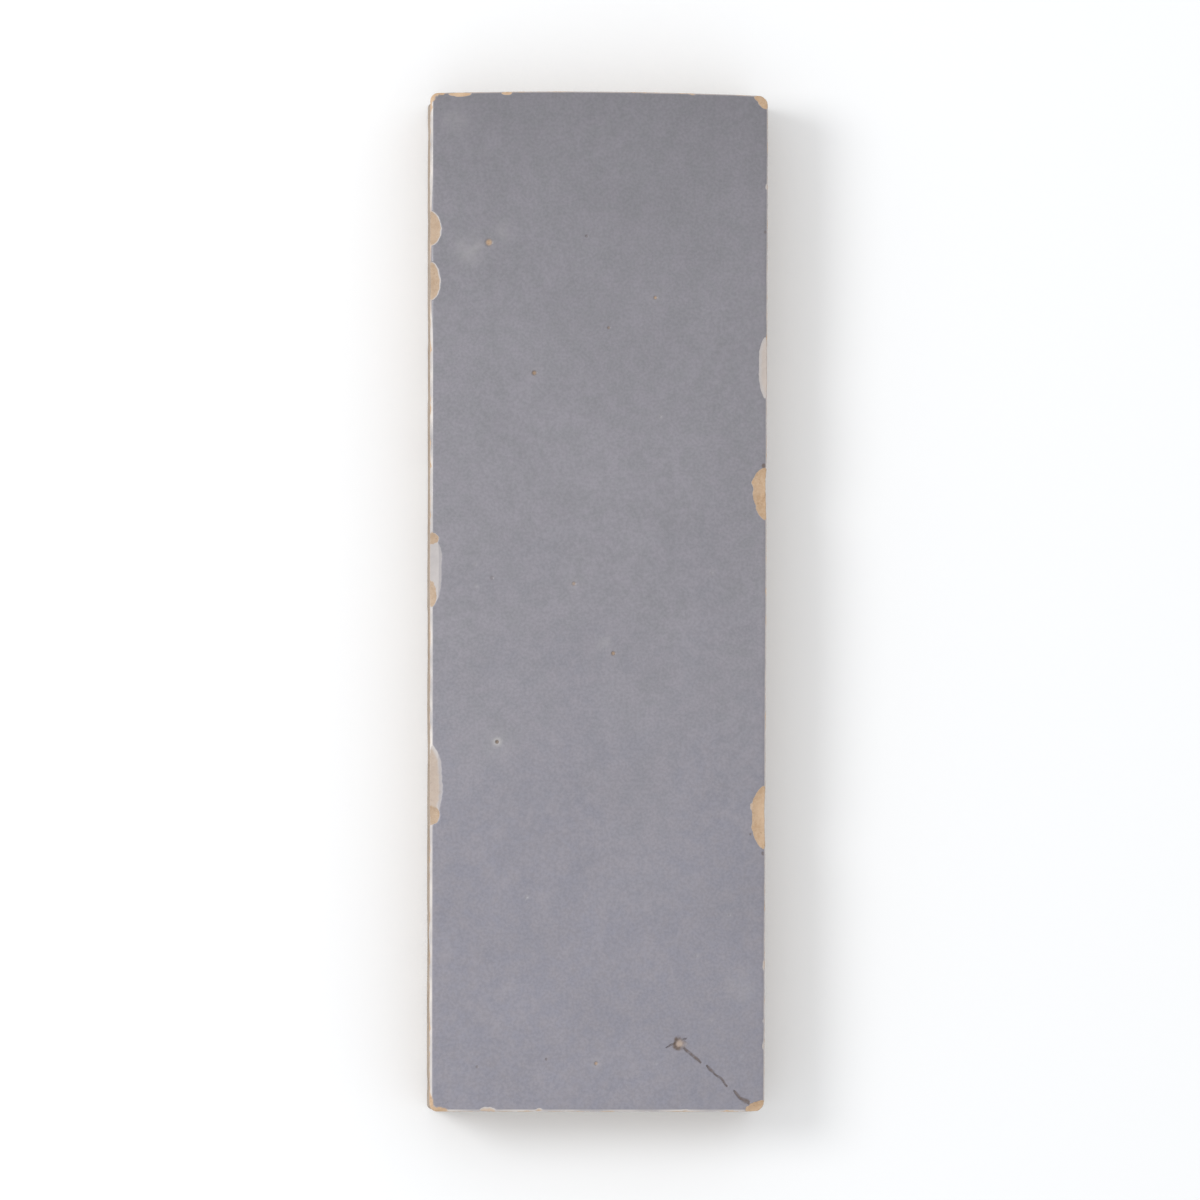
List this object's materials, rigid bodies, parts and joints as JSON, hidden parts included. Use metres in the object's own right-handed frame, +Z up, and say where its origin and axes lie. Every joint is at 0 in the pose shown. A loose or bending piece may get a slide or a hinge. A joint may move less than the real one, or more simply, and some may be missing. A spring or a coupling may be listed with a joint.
{
  "type": "zellige tile",
  "caption": "Hand-cut oblong zellige tile of fired clay with a waving grey glazed face, rolled arris, flaked edges, worn corners and a flat unglazed back for bedding.",
  "frame": {"origin": "under the middle of the tile, on the plane of its flat back", "axes": "+Y along the long side, towards the bowed end; +X across the face, towards the leaning side; +Z up out of the glazed face"},
  "size_m": [0.05, 0.15, 0.012],
  "materials": {
    "glazed_clay": "satin"
  },
  "bodies": {
    "root": {"zellige_tile": "glazed_clay"}
  },
  "joints": []
}
